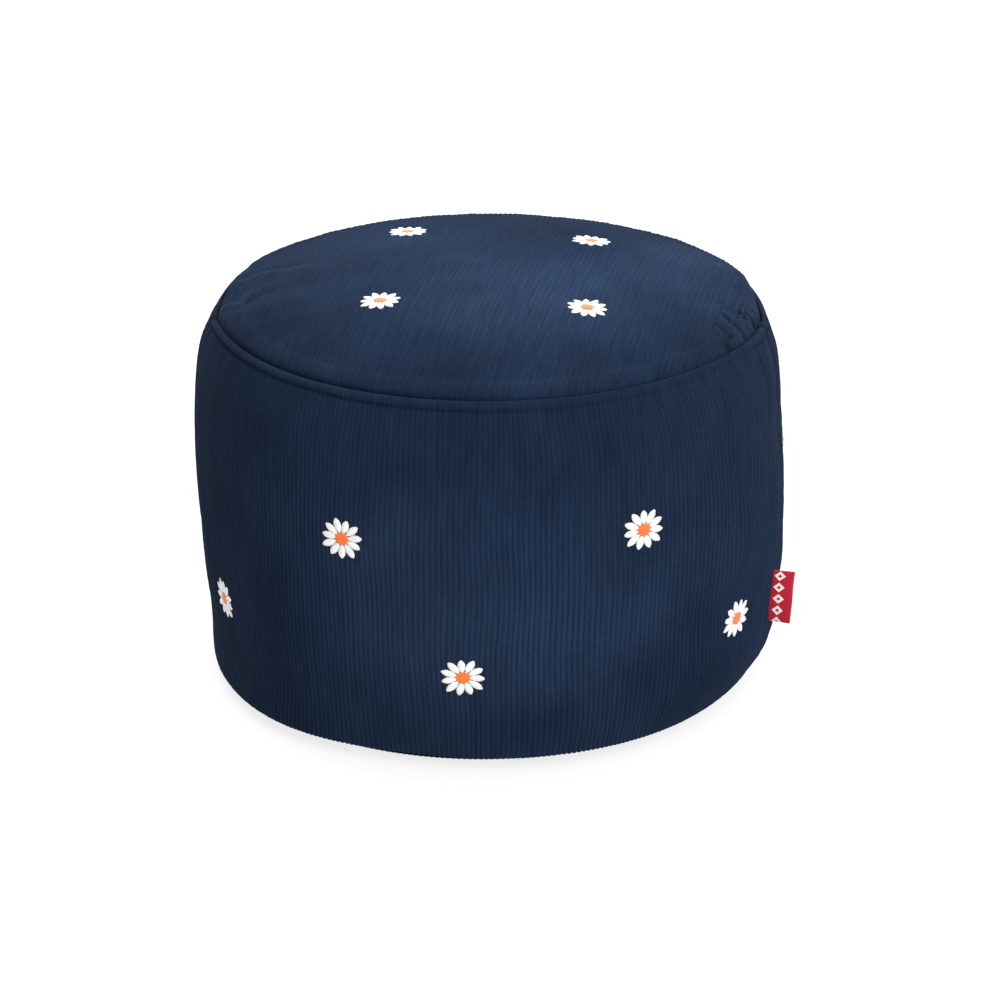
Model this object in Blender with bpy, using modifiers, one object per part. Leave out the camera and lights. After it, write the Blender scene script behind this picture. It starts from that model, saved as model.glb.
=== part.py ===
"""A round bean bag footstool in navy corduroy, 0.50 m across and 0.35 m high.

The wall and its filling are one stuffed drum. A domed top panel and a shallow dished base panel, both of
the same cloth, close its ends, and a folded ribbon tab is sewn into one of the two side seams.
Metres, +Z up. The origin is on the floor under the middle of the top panel, and the front is -Y.
"""

import math

import bmesh
import bpy
import numpy as np
from mathutils import Vector

# Driving dimensions
HEIGHT = 0.350
CLOTH = 0.0025
GAP = 0.0003

# The seam that joins the top panel to the wall, and the dome above it
TOP_SEAM_RADIUS = 0.2260
TOP_SEAM_HEIGHT = 0.3165
DOME_POWER = 3.1
DOME_RINGS = 8

# The seam allowance is turned down behind the wall, and it lifts a rounded ridge below the seam
RIDGE_WIDTH = 0.0100
RIDGE_RISE = 0.0028
RIDGE_STEPS = 5
RIDGE_FOOT_DEPTH = 0.0009

# The base panel lies flat inside CONTACT_RADIUS and curls up to the bottom seam
CONTACT_RADIUS = 0.202
BASE_SEAM_RADIUS = 0.2265
BASE_SEAM_HEIGHT = 0.0085
BASE_CURL_RINGS = 4

# How far the wall reaches to the left and to the right of the origin, at each height
WALL_SECTIONS = (
    # height, left, right
    (BASE_SEAM_HEIGHT, 0.2360, 0.2256),
    (0.0130, 0.2378, 0.2305),
    (0.0200, 0.2380, 0.2353),
    (0.0380, 0.2382, 0.2427),
    (0.0800, 0.2414, 0.2475),
    (0.1400, 0.2465, 0.2515),
    (0.2000, 0.2468, 0.2482),
    (0.2500, 0.2455, 0.2432),
    (0.2850, 0.2412, 0.2398),
    (TOP_SEAM_HEIGHT, TOP_SEAM_RADIUS, TOP_SEAM_RADIUS),
)
WALL_RINGS = 15

# The two side seams, opposite each other, and the groove that each one draws into the wall
SIDE_SEAM_AZIMUTHS = (math.radians(-18.0), math.radians(162.0))
SIDE_SEAM_DEPTH = 0.0040
SIDE_SEAM_HALF_WIDTH = math.radians(1.4)

# Columns of points round the drum: close together beside the side seams, and further apart elsewhere
COLUMNS = 96
FINE_COLUMNS_PER_SEAM = 24
FINE_STEP = math.radians(1.4)

# The back of the top seam stands a little higher than the front
BACK_LIFT = 0.0035
BACK_LIFT_AZIMUTH = math.radians(78.0)

# The top panel is gathered into radial puckers near the ends of the two side seams
PUCKERS = (
    # azimuth in degrees, reach in degrees, depth
    (-13.0, 11.0, 0.0018),
    (172.0, 9.0, 0.0011),
)
PUCKER_PITCH = 5.6
PUCKER_LENGTH = 0.035

# Soft hollows in the dome, as round dents
TOP_DENTS = (
    # x, y, spread, depth
    (0.110, -0.020, 0.040, 0.0030),
    (-0.060, 0.090, 0.055, 0.0022),
    (-0.090, -0.120, 0.050, 0.0015),
    (0.170, 0.080, 0.045, 0.0025),
)

# Creases that run in from the rim of the top panel
TOP_CREASES = (
    # start x, start y, end x, end y, half width, depth
    (-0.208, 0.070, -0.146, 0.031, 0.010, 0.0022),
    (0.150, -0.135, 0.178, -0.085, 0.012, 0.0015),
)

# Hollows and one swelling in the wall, where the filling has settled
WALL_DENTS = (
    # azimuth in degrees, height, spread round, spread up, depth
    (-160.0, 0.120, 0.070, 0.080, 0.0020),
    (-125.0, 0.210, 0.060, 0.050, 0.0015),
    (-70.0, 0.110, 0.080, 0.060, 0.0018),
    (-38.0, 0.200, 0.050, 0.070, 0.0016),
    (-24.0, 0.096, 0.022, 0.030, -0.0016),
    (30.0, 0.150, 0.080, 0.070, 0.0020),
    (85.0, 0.100, 0.090, 0.060, 0.0018),
    (130.0, 0.190, 0.070, 0.060, -0.0015),
)

# The crease that the right-hand side seam pulls into the wall above the tab
WALL_CREASES = (
    # start azimuth in degrees, start height, end azimuth in degrees, end height, half width, depth
    (-10.0, 0.157, -27.0, 0.146, 0.009, 0.0026),
)

# The ribbon tab, a strip folded in half with both ends held in the side seam
TAB_HEIGHT = 0.046
TAB_LENGTH = 0.0215
TAB_CENTRE_HEIGHT = 0.084
RIBBON = 0.0008
FOLD_GAP = 0.0005
TAB_FOLD_STEPS = 6
TAB_INSERTION = 0.0022

NAVY = (0.0160, 0.0290, 0.0620)
RED = (0.5500, 0.0120, 0.0300)


def clear_scene():
    """Remove whatever the scene already holds."""
    for old in list(bpy.data.objects):
        bpy.data.objects.remove(old)


def cloth_material(name, colour, roughness):
    """A plain cloth finish: one colour, rough, with no metal in it."""
    material = bpy.data.materials.new(name)
    material.use_nodes = True
    shader = material.node_tree.nodes["Principled BSDF"]
    shader.inputs["Base Color"].default_value = (*colour, 1.0)
    shader.inputs["Roughness"].default_value = roughness
    shader.inputs["Metallic"].default_value = 0.0
    return material


def smooth_through(rows, column, height):
    """The value of one column of a table at a height, on a smooth curve through its rows."""
    heights = np.array([row[0] for row in rows])
    values = np.array([row[column] for row in rows])
    slopes = np.gradient(values, heights)
    i = int(np.clip(np.searchsorted(heights, height) - 1, 0, len(rows) - 2))
    step = heights[i + 1] - heights[i]
    t = min(max((height - heights[i]) / step, 0.0), 1.0)
    ease = t * t * (3.0 - 2.0 * t)
    start_pull = step * slopes[i] * t * (1.0 - t) ** 2
    end_pull = step * slopes[i + 1] * t * t * (1.0 - t)
    return float(values[i] * (1.0 - ease) + values[i + 1] * ease + start_pull - end_pull)


def wall_radius(height):
    """Half of the drum's width at a height."""
    return (smooth_through(WALL_SECTIONS, 1, height) + smooth_through(WALL_SECTIONS, 2, height)) / 2.0


def wall_lean(height):
    """How far the middle of the drum lies to the right of the origin at a height."""
    return (smooth_through(WALL_SECTIONS, 2, height) - smooth_through(WALL_SECTIONS, 1, height)) / 2.0


def dome_height(radius):
    """Height of the top panel's upper face at a distance from the middle."""
    crown = HEIGHT - TOP_SEAM_HEIGHT
    return HEIGHT - crown * (radius / TOP_SEAM_RADIUS) ** DOME_POWER


def dome_radii(outer_radius):
    """Distances of the dome's rings from the middle, closer together towards the rim."""
    return [outer_radius * math.sin(math.pi / 2 * i / DOME_RINGS) for i in range(DOME_RINGS + 1)]


def curl_height(radius):
    """Height of the base panel's lower face: flat, then curling up to the bottom seam."""
    past_contact = max(radius - CONTACT_RADIUS, 0.0) / (BASE_SEAM_RADIUS - CONTACT_RADIUS)
    return (BASE_SEAM_HEIGHT - CLOTH) * past_contact**2


def base_radii(outer_radius):
    """Distances of the base's rings from the middle: two on the flat, the others on the curl."""
    curl = [
        CONTACT_RADIUS + (outer_radius - CONTACT_RADIUS) * i / BASE_CURL_RINGS
        for i in range(BASE_CURL_RINGS + 1)
    ]
    return [0.0, CONTACT_RADIUS / 2.0, *curl]


def top_panel_profile():
    """The domed sheet: its upper face from the middle to the rim, and its lower face back again."""
    radii = dome_radii(TOP_SEAM_RADIUS)
    upper = [(radius, dome_height(radius)) for radius in radii]
    lower = [(radius, dome_height(radius) - CLOTH) for radius in reversed(radii)]
    return upper + lower


def base_panel_profile():
    """The dished sheet: its upper face from the middle to the rim, and its lower face back again."""
    radii = base_radii(BASE_SEAM_RADIUS)
    upper = [(radius, curl_height(radius) + CLOTH) for radius in radii]
    lower = [(radius, curl_height(radius)) for radius in reversed(radii)]
    return upper + lower


def ridge_profile():
    """The rounded ridge beside the top seam, from the panel's rim over its crest to the line at its foot."""
    inner = TOP_SEAM_RADIUS + GAP
    foot_height = TOP_SEAM_HEIGHT - RIDGE_WIDTH * 0.8
    foot_radius = wall_radius(foot_height)
    points = []
    for i in range(RIDGE_STEPS + 1):
        share = i / RIDGE_STEPS
        rise = RIDGE_RISE * math.sin(math.pi * share) ** 0.7
        points.append(
            (
                inner + (foot_radius - inner) * share + rise * share,
                TOP_SEAM_HEIGHT + (foot_height - TOP_SEAM_HEIGHT) * share**1.5 + rise * (1.0 - share),
            )
        )
    points[-1] = (foot_radius - RIDGE_FOOT_DEPTH, foot_height)
    return points


def side_wall_profile():
    """The stuffed drum, from the middle of its domed top, over the ridge, down the wall and under the base."""
    under_panel = [
        (radius, dome_height(radius) - CLOTH - GAP) for radius in dome_radii(TOP_SEAM_RADIUS + GAP)
    ]
    ridge = ridge_profile()
    start = ridge[-1][1] - RIDGE_WIDTH * 0.3
    end = WALL_SECTIONS[0][0] + GAP * 2.0
    wall = []
    for i in range(WALL_RINGS + 1):
        turn = math.pi * i / WALL_RINGS
        height = end + (start - end) * (1.0 + math.cos(turn)) / 2.0
        wall.append((wall_radius(height), height))
    over_base = [
        (radius, curl_height(radius) + CLOTH + GAP) for radius in reversed(base_radii(BASE_SEAM_RADIUS))
    ]
    return under_panel + ridge[1:] + wall + over_base


def turned(name, profile, material, collection):
    """Turn a profile that runs down its outer side round the Z axis, and make the result a mesh object."""
    mesh = bpy.data.meshes.new(name + "_profile")
    shape = bmesh.new()
    points = [shape.verts.new((radius, 0.0, height)) for radius, height in profile]
    for first, second in zip(points, points[1:]):
        shape.edges.new((first, second))
    shape.to_mesh(mesh)
    shape.free()
    guide = bpy.data.objects.new(name + "_guide", mesh)
    bpy.context.scene.collection.objects.link(guide)
    screw = guide.modifiers.new("turn", "SCREW")
    screw.steps = COLUMNS
    screw.render_steps = COLUMNS
    screw.use_merge_vertices = True
    screw.merge_threshold = 0.00005
    graph = bpy.context.evaluated_depsgraph_get()
    turned_mesh = bpy.data.meshes.new_from_object(guide.evaluated_get(graph))
    bpy.data.objects.remove(guide)
    turned_mesh.name = name
    turned_mesh.materials.clear()
    turned_mesh.materials.append(material)
    turned_mesh.shade_smooth()
    turned_mesh.set_sharp_from_angle(angle=math.radians(50.0))
    obj = bpy.data.objects.new(name, turned_mesh)
    collection.objects.link(obj)
    return obj


def column_azimuths():
    """Where each evenly turned column really stands: close together beside the two side seams."""
    coarse_columns = COLUMNS // 2 - FINE_COLUMNS_PER_SEAM
    fine_span = FINE_COLUMNS_PER_SEAM * FINE_STEP
    coarse_step = (math.pi - fine_span) / coarse_columns
    azimuths = []
    for seam in SIDE_SEAM_AZIMUTHS:
        first = seam - fine_span / 2.0
        azimuths += [first + FINE_STEP * i for i in range(FINE_COLUMNS_PER_SEAM)]
        azimuths += [first + fine_span + coarse_step * i for i in range(coarse_columns)]
    return azimuths


def from_seam(azimuth):
    """The angle from an azimuth to the nearest side seam."""
    return min(
        abs(math.remainder(azimuth - seam, 2.0 * math.pi)) for seam in SIDE_SEAM_AZIMUTHS
    )


def bump(distance, spread):
    """A smooth bell: 1 in the middle, and next to nothing at twice the spread."""
    return math.exp(-((distance / spread) ** 2))


def distance_to_line(x, y, start_x, start_y, end_x, end_y):
    """Distance from a point to the stretch of line between two others."""
    along_x, along_y = end_x - start_x, end_y - start_y
    share = ((x - start_x) * along_x + (y - start_y) * along_y) / (along_x**2 + along_y**2)
    share = min(max(share, 0.0), 1.0)
    return math.hypot(x - start_x - along_x * share, y - start_y - along_y * share)


def side_sink(azimuth, height, radius):
    """How far the wall lies inside its turned form, from the side seams, hollows and creases."""
    seam_share = max(1.0 - from_seam(azimuth) / SIDE_SEAM_HALF_WIDTH, 0.0)
    sink = SIDE_SEAM_DEPTH * seam_share
    for dent_azimuth, dent_height, spread_round, spread_up, depth in WALL_DENTS:
        turn = math.remainder(azimuth - math.radians(dent_azimuth), 2.0 * math.pi)
        sink += depth * bump(turn * radius, spread_round) * bump(height - dent_height, spread_up)
    for start_azimuth, start_height, end_azimuth, end_height, half_width, depth in WALL_CREASES:
        turn = math.remainder(azimuth - math.radians(start_azimuth), 2.0 * math.pi)
        length = math.radians(end_azimuth - start_azimuth) * radius
        away = distance_to_line(turn * radius, height, 0.0, start_height, length, end_height)
        sink += depth * bump(away, half_width)
    return sink


def top_sink(x, y, azimuth, radius):
    """How far the dome lies below its turned form, from its dents, creases and puckers."""
    sink = sum(depth * bump(math.hypot(x - dx, y - dy), spread) for dx, dy, spread, depth in TOP_DENTS)
    for start_x, start_y, end_x, end_y, half_width, depth in TOP_CREASES:
        sink += depth * bump(distance_to_line(x, y, start_x, start_y, end_x, end_y), half_width)
    near_rim = bump(TOP_SEAM_RADIUS - radius, PUCKER_LENGTH)
    for pucker_azimuth, reach, depth in PUCKERS:
        turn = math.remainder(math.degrees(azimuth) - pucker_azimuth, 360.0)
        pleat = (1.0 + math.cos(2.0 * math.pi * turn / PUCKER_PITCH)) / 2.0
        sink += depth * pleat * bump(turn, reach) * near_rim
    return sink


def cut_quads(mesh):
    """Cut each quad along its shorter diagonal, so that two parallel faces are cut alike and stay apart."""
    shape = bmesh.new()
    shape.from_mesh(mesh)
    bmesh.ops.triangulate(shape, faces=shape.faces, quad_method="SHORT_EDGE")
    shape.to_mesh(mesh)
    shape.free()


def settle(obj, on_wall):
    """Move a turned piece's points to where the stuffed cloth lies.

    Every piece goes by the same soft field, so that neighbours stay the same distance apart. on_wall says
    which points belong to the wall's outer face, which alone takes the side seams and the wall's hollows.
    """
    real = column_azimuths()
    real.append(real[0] + 2.0 * math.pi)
    even = [2.0 * math.pi * i / COLUMNS for i in range(COLUMNS + 1)]
    for vertex in obj.data.vertices:
        x, y, height = vertex.co
        radius = math.hypot(x, y)
        azimuth = float(np.interp((math.atan2(y, x) + 1e-5) % (2.0 * math.pi) - 1e-5, even, real))
        if on_wall(radius, height):
            radius -= side_sink(azimuth, height, radius)
        x, y = radius * math.cos(azimuth), radius * math.sin(azimuth)
        up_share = min(max(height / TOP_SEAM_HEIGHT, 0.0), 1.0)
        rim_share = (radius / TOP_SEAM_RADIUS) ** 2
        lift = BACK_LIFT * math.cos(azimuth - BACK_LIFT_AZIMUTH) * rim_share * up_share**4
        if height > dome_height(min(radius, TOP_SEAM_RADIUS)) - 3.0 * CLOTH:
            lift -= top_sink(x, y, azimuth, radius)
        vertex.co = (x + wall_lean(height), y, height + lift)
    cut_quads(obj.data)


def outer_face(radius, height):
    """True on the wall's outer face, below the top seam."""
    return height < TOP_SEAM_HEIGHT and radius > TOP_SEAM_RADIUS + 2.0 * GAP


def nowhere(radius, height):
    """For a piece that has no share in the wall's outer face."""
    return False


def make_top_panel(cloth, collection):
    """The round panel that closes the top, domed by the filling under it."""
    panel = turned("top_panel", top_panel_profile(), cloth, collection)
    settle(panel, nowhere)
    return panel


def make_side_wall(cloth, collection):
    """The wall with its filling: one stuffed solid with its ridge, its side seams and its hollows."""
    wall = turned("side_wall", side_wall_profile(), cloth, collection)
    settle(wall, outer_face)
    return wall


def make_base_panel(cloth, collection):
    """The round panel that the footstool stands on."""
    panel = turned("base_panel", base_panel_profile(), cloth, collection)
    settle(panel, nowhere)
    return panel


def tab_outline():
    """The folded ribbon seen from above, its ends at x = 0 and its fold at x = TAB_LENGTH."""
    outer = RIBBON + FOLD_GAP / 2.0
    inner = FOLD_GAP / 2.0
    fold_x = TAB_LENGTH - outer

    def half_turn(radius, from_angle, to_angle):
        """Points round the fold at a radius."""
        angles = [
            from_angle + (to_angle - from_angle) * i / TAB_FOLD_STEPS for i in range(TAB_FOLD_STEPS + 1)
        ]
        return [(fold_x + radius * math.cos(a), radius * math.sin(a)) for a in angles]

    outside = [(0.0, -outer), *half_turn(outer, -math.pi / 2, math.pi / 2), (0.0, outer)]
    inside = [(0.0, inner), *half_turn(inner, math.pi / 2, -math.pi / 2), (0.0, -inner)]
    return outside + inside


def make_side_tab(ribbon, collection):
    """The folded ribbon tab that stands out of the right-hand side seam."""
    curve = bpy.data.curves.new("side_tab", "CURVE")
    curve.dimensions = "2D"
    curve.fill_mode = "BOTH"
    curve.extrude = TAB_HEIGHT / 2.0
    outline = tab_outline()
    spline = curve.splines.new("POLY")
    spline.points.add(len(outline) - 1)
    for point, (x, y) in zip(spline.points, outline):
        point.co = (x, y, 0.0, 1.0)
    spline.use_cyclic_u = True
    curve.materials.append(ribbon)
    tab = bpy.data.objects.new("side_tab", curve)
    collection.objects.link(tab)

    azimuth = SIDE_SEAM_AZIMUTHS[0]

    def seam_bottom(height):
        """A point a little out from the bottom of the side seam's groove at a height."""
        radius = wall_radius(height)
        radius += SIDE_SEAM_DEPTH - TAB_INSERTION - side_sink(azimuth, height, radius)
        across = radius * math.cos(azimuth) + wall_lean(height)
        return Vector((across, radius * math.sin(azimuth), height))

    half = TAB_HEIGHT / 2.0
    slant = seam_bottom(TAB_CENTRE_HEIGHT + half) - seam_bottom(TAB_CENTRE_HEIGHT - half)
    outward = slant.x * math.cos(azimuth) + slant.y * math.sin(azimuth)
    tab.location = seam_bottom(TAB_CENTRE_HEIGHT)
    tab.rotation_euler = (0.0, math.atan2(outward, slant.z), azimuth)
    return tab


def main():
    """Build the footstool in a collection of its own."""
    clear_scene()
    collection = bpy.data.collections.new("bean_bag_footstool")
    bpy.context.scene.collection.children.link(collection)
    corduroy = cloth_material("navy_corduroy", NAVY, 0.9)
    ribbon = cloth_material("red_ribbon", RED, 0.7)
    make_side_wall(corduroy, collection)
    make_top_panel(corduroy, collection)
    make_base_panel(corduroy, collection)
    make_side_tab(ribbon, collection)


main()
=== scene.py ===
import bpy
import numpy as np
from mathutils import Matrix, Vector
from mathutils.bvhtree import BVHTree


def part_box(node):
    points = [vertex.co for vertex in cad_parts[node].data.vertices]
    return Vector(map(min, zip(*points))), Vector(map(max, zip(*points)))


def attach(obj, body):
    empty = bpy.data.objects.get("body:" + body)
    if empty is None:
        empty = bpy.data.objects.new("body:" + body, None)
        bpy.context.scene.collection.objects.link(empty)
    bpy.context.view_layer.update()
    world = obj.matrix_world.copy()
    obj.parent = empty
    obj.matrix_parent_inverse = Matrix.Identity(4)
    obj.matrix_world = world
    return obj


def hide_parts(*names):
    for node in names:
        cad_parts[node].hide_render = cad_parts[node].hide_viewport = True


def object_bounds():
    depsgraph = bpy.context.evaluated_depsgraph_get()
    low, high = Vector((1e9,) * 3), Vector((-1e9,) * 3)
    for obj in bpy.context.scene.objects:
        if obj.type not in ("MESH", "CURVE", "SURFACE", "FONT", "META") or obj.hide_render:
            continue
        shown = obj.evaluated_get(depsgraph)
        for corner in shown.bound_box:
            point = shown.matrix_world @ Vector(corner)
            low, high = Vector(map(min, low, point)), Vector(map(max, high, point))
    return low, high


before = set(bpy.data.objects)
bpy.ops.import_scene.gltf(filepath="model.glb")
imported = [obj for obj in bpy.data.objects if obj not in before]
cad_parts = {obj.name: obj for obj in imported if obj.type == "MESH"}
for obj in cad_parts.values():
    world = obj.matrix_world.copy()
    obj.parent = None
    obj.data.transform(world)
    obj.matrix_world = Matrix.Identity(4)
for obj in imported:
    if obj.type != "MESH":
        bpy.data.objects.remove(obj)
cad_low, cad_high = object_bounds()


# Camera ===============================================================================================
# A long lens, straight in front of the footstool and looking down on it. It aims a little under the
# middle, so that the footstool stands in the frame as it does in the photograph.

camera_distance = 2.700
camera_elevation = np.radians(22.0)
height_looked_at = 0.170
camera_place = Vector(
    (
        0.0,
        -camera_distance * np.cos(camera_elevation),
        height_looked_at + camera_distance * np.sin(camera_elevation),
    )
)
camera_target = Vector((0.0087, 0.0, 0.1378))
bpy.ops.object.camera_add(
    location=camera_place,
    rotation=(camera_target - camera_place).to_track_quat("-Z", "Y").to_euler(),
)
camera = bpy.context.object
camera.name = "camera"
camera.data.lens = 114.6
camera.data.sensor_width = 36.0
camera.data.clip_end = 50.0
bpy.context.scene.camera = camera
bpy.context.scene.view_settings.view_transform = "Standard"


# Filling ==============================================================================================
# Loose beads press the cover out between its seams. The slack cloth there is blown up as a simulation on a
# copy of the solids, held at the seams and on the floor. Its folds are measured, and the copy is removed.

form_voxel = 0.007
slack = 0.010
blow_steps = 20
seam_grip, grip_fade = 0.004, 0.012
fold_limit = 0.0035
floor_grip_height, floor_grip_radius = 0.006, 0.205
deflated = 0.003
ray_start = 0.150
fine_cells, broad_cells = 1.0, 9.0
seam_radius = (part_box("top_panel")[1].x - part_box("top_panel")[0].x) / 2.0
base_low, base_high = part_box("base_panel")
base_seam_radius = (base_high.x - base_low.x) / 2.0
base_shift = (base_high.x + base_low.x) / 2.0
side_seams = (np.radians(-18.0), np.radians(162.0))


def deselect_all():
    """Deselect every object, so that an operator acts only on what is picked next."""
    bpy.ops.object.select_all(action="DESELECT")


def apply_modifiers(piece):
    """Apply all of a piece's modifiers, in order."""
    deselect_all()
    piece.select_set(True)
    bpy.context.view_layer.objects.active = piece
    for modifier in list(piece.modifiers):
        bpy.ops.object.modifier_apply(modifier=modifier.name)


def wrapped(azimuth):
    """Azimuths brought to between -pi and pi."""
    return (azimuth + np.pi) % (2.0 * np.pi) - np.pi


def degrees_from(azimuth, middle):
    """Degrees from a middle, itself given in degrees, to each azimuth."""
    return np.degrees(wrapped(azimuth - np.radians(middle)))


def along_cloth(azimuth, start):
    """Length of cloth round the footstool from a start to each azimuth, in metres."""
    return wrapped(azimuth - start) * seam_radius


def bell(*shares):
    """A smooth bump: 1 where every share is 0, and next to nothing where one of them is past 2."""
    return np.exp(-sum(share**2 for share in shares))


def corners_of(piece):
    """The places of a piece's vertices."""
    places = np.empty(3 * len(piece.data.vertices))
    piece.data.vertices.foreach_get("co", places)
    return places.reshape(-1, 3)


rim = corners_of(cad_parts["top_panel"])
rim = rim[np.hypot(rim[:, 0], rim[:, 1]) > seam_radius * 0.999]
rim_turns = np.arctan2(rim[:, 1], rim[:, 0])
rim_azimuths = np.unique(np.round(rim_turns, 3))
rim_heights = np.array([rim[np.abs(wrapped(rim_turns - turn)) < 0.003, 2].max() for turn in rim_azimuths])


seam_dips = (
    # azimuth in degrees, spread in degrees, depth
    (-2.0, 20.0, 0.0116),
    (178.0, 10.0, 0.0060),
    (164.0, 14.0, 0.0066),
    (-85.0, 40.0, -0.0008),
)


def seam_settling(azimuth):
    """How far the side seams have pulled the top seam down, at each azimuth."""
    return -sum(depth * bell(degrees_from(azimuth, middle) / spread) for middle, spread, depth in seam_dips)


def seam_height(azimuth):
    """Height of the top seam round the footstool: the solid panel's rim, with the seam's settling."""
    measured = np.interp(wrapped(azimuth), rim_azimuths, rim_heights, period=2.0 * np.pi)
    return measured + seam_settling(azimuth)


deselect_all()
for node in ("side_wall", "top_panel", "base_panel"):
    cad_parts[node].select_set(True)
bpy.context.view_layer.objects.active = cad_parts["side_wall"]
bpy.ops.object.duplicate()
bpy.ops.object.join()
form = bpy.context.object
form.name = "filling_form"
form.parent = None
remesh = form.modifiers.new("one_skin", "REMESH")
remesh.mode = "VOXEL"
remesh.voxel_size = form_voxel
soften = form.modifiers.new("soften", "SMOOTH")
soften.factor = 0.5
soften.iterations = 4
apply_modifiers(form)

taut = corners_of(form)
taut_faces = [tuple(face.vertices) for face in form.data.polygons]
taut_out = np.array([vertex.normal for vertex in form.data.vertices])
taut_radius = np.hypot(taut[:, 0], taut[:, 1])
taut_azimuth = np.arctan2(taut[:, 1], taut[:, 0])
to_top_seam = np.hypot(taut_radius - seam_radius, taut[:, 2] - seam_height(taut_azimuth))
to_base_seam = np.hypot(taut_radius - base_seam_radius, taut[:, 2] - base_high.z)
to_seam = np.minimum(to_top_seam, to_base_seam)
for seam in side_seams:
    aside = np.abs(along_cloth(taut_azimuth, seam))
    to_seam = np.minimum(to_seam, np.where(taut[:, 2] < seam_height(seam), aside, 1.0))
held = np.clip(1.0 - (to_seam - seam_grip) / grip_fade, 0.0, 1.0)
on_floor = (taut[:, 2] < floor_grip_height) & (taut_radius < floor_grip_radius)
held[on_floor] = 1.0
held = np.round(held, 1)
grip = form.vertex_groups.new(name="held")
for share in np.unique(held[held > 0.0]):
    grip.add([int(i) for i in np.nonzero(held == share)[0]], float(share), "REPLACE")
shrunk = taut - taut_out * (deflated * (1.0 - held))[:, None]
form.data.vertices.foreach_set("co", shrunk.ravel())
cloth = form.modifiers.new("slack_cloth", "CLOTH")
cloth.settings.vertex_group_mass = "held"
cloth.settings.use_pressure = True
cloth.settings.uniform_pressure_force = 5.0
cloth.settings.shrink_min = -slack
cloth.settings.bending_stiffness = 8.0
cloth.settings.effector_weights.gravity = 0.0
cloth.collision_settings.use_collision = False
cloth.point_cache.frame_start = 1
cloth.point_cache.frame_end = blow_steps
for step in range(1, blow_steps + 1):
    bpy.context.scene.frame_set(step)
apply_modifiers(form)
blown = corners_of(form)
bpy.data.objects.remove(form)
bpy.context.scene.frame_set(1)

taut_skin = BVHTree.FromPolygons([Vector(place) for place in taut], taut_faces)
blown_skin = BVHTree.FromPolygons([Vector(place) for place in blown], taut_faces)
graph = bpy.context.evaluated_depsgraph_get()
solid_side = BVHTree.FromObject(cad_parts["side_wall"], graph)
solid_top = BVHTree.FromObject(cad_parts["top_panel"], graph)


def blurred(field, cells, wraps=False):
    """A field with its rows and columns smoothed over so many cells. Its columns may wrap round."""
    far = int(3 * cells) + 1
    weights = np.exp(-0.5 * (np.arange(-far, far + 1) / cells) ** 2)
    weights /= weights.sum()
    across = np.pad(field, ((0, 0), (far, far)), mode="wrap" if wraps else "edge")
    across = np.apply_along_axis(np.convolve, 1, across, weights, "valid")
    down = np.pad(across, ((far, far), (0, 0)), mode="edge")
    return np.apply_along_axis(np.convolve, 0, down, weights, "valid")


def between_cells(field, row, column):
    """The value of a field at fractional rows and columns."""
    row = np.clip(row, 0.0, field.shape[0] - 1.001)
    column = np.clip(column, 0.0, field.shape[1] - 1.001)
    i, j = row.astype(int), column.astype(int)
    down, across = row - i, column - j
    upper = field[i, j] * (1.0 - across) + field[i, j + 1] * across
    lower = field[i + 1, j] * (1.0 - across) + field[i + 1, j + 1] * across
    return upper * (1.0 - down) + lower * down


def folds_of(field, taut_field, wraps):
    """The folds in a blown field: what it adds to the taut one, less its broad swelling, kept small."""
    swelling = blurred(field - taut_field, fine_cells, wraps)
    folds = swelling - 0.9 * blurred(swelling, broad_cells, wraps)
    return fold_limit * np.tanh(folds / fold_limit)


def side_distance(skin, azimuth, height):
    """Distance of a skin from the Z axis at one azimuth and height."""
    outward = Vector((np.cos(azimuth), np.sin(azimuth), 0.0))
    inside = Vector((0.0, 0.0, height)) + outward * ray_start
    return skin.ray_cast(inside, outward)[0].xy.length


# The side is measured at each height and degree. The solid is measured where its own points stand, beside
# its seam grooves but not in them, and the two skins no lower than they are smooth.
side_lowest, side_highest, side_cell = 0.010, 0.304, 0.004
skin_lowest = 0.014
side_heights = np.arange(side_lowest, side_highest, side_cell)
side_azimuths = np.radians(np.arange(0.0, 360.0, 1.0))
measured_turns = np.unique(np.round(np.degrees(rim_azimuths) % 360.0, 2))
for seam in side_seams:
    off_seam = np.abs(wrapped(np.radians(measured_turns) - seam)) > np.radians(1.2)
    measured_turns = measured_turns[off_seam]
side_field = np.empty((len(side_heights), len(side_azimuths)))
taut_field, blown_field = side_field.copy(), side_field.copy()
for i, height in enumerate(side_heights):
    measured = [side_distance(solid_side, np.radians(turn), height) for turn in measured_turns]
    side_field[i] = np.interp(np.degrees(side_azimuths), measured_turns, measured, period=360.0)
    for j, azimuth in enumerate(side_azimuths):
        taut_field[i, j] = side_distance(taut_skin, azimuth, max(height, skin_lowest))
        blown_field[i, j] = side_distance(blown_skin, azimuth, max(height, skin_lowest))
near_side_seam = np.maximum(*[bell(along_cloth(side_azimuths, seam) / 0.085) for seam in side_seams])
side_folds = folds_of(blown_field, taut_field, wraps=True) * (0.15 + 0.75 * near_side_seam)
side_field = blurred(side_field, 2.2, wraps=True) + side_folds
side_field = np.hstack([side_field, side_field[:, :1]])


def side_reach(azimuth, height):
    """Distance of the stuffed side from the Z axis, for arrays of azimuths and heights."""
    return between_cells(side_field, (height - side_lowest) / side_cell, np.degrees(azimuth) % 360.0)


def height_under(skin, x, y):
    """Height of a skin's upper side at one place in plan."""
    return skin.ray_cast(Vector((x, y, 1.0)), Vector((0.0, 0.0, -1.0)))[0].z


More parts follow.
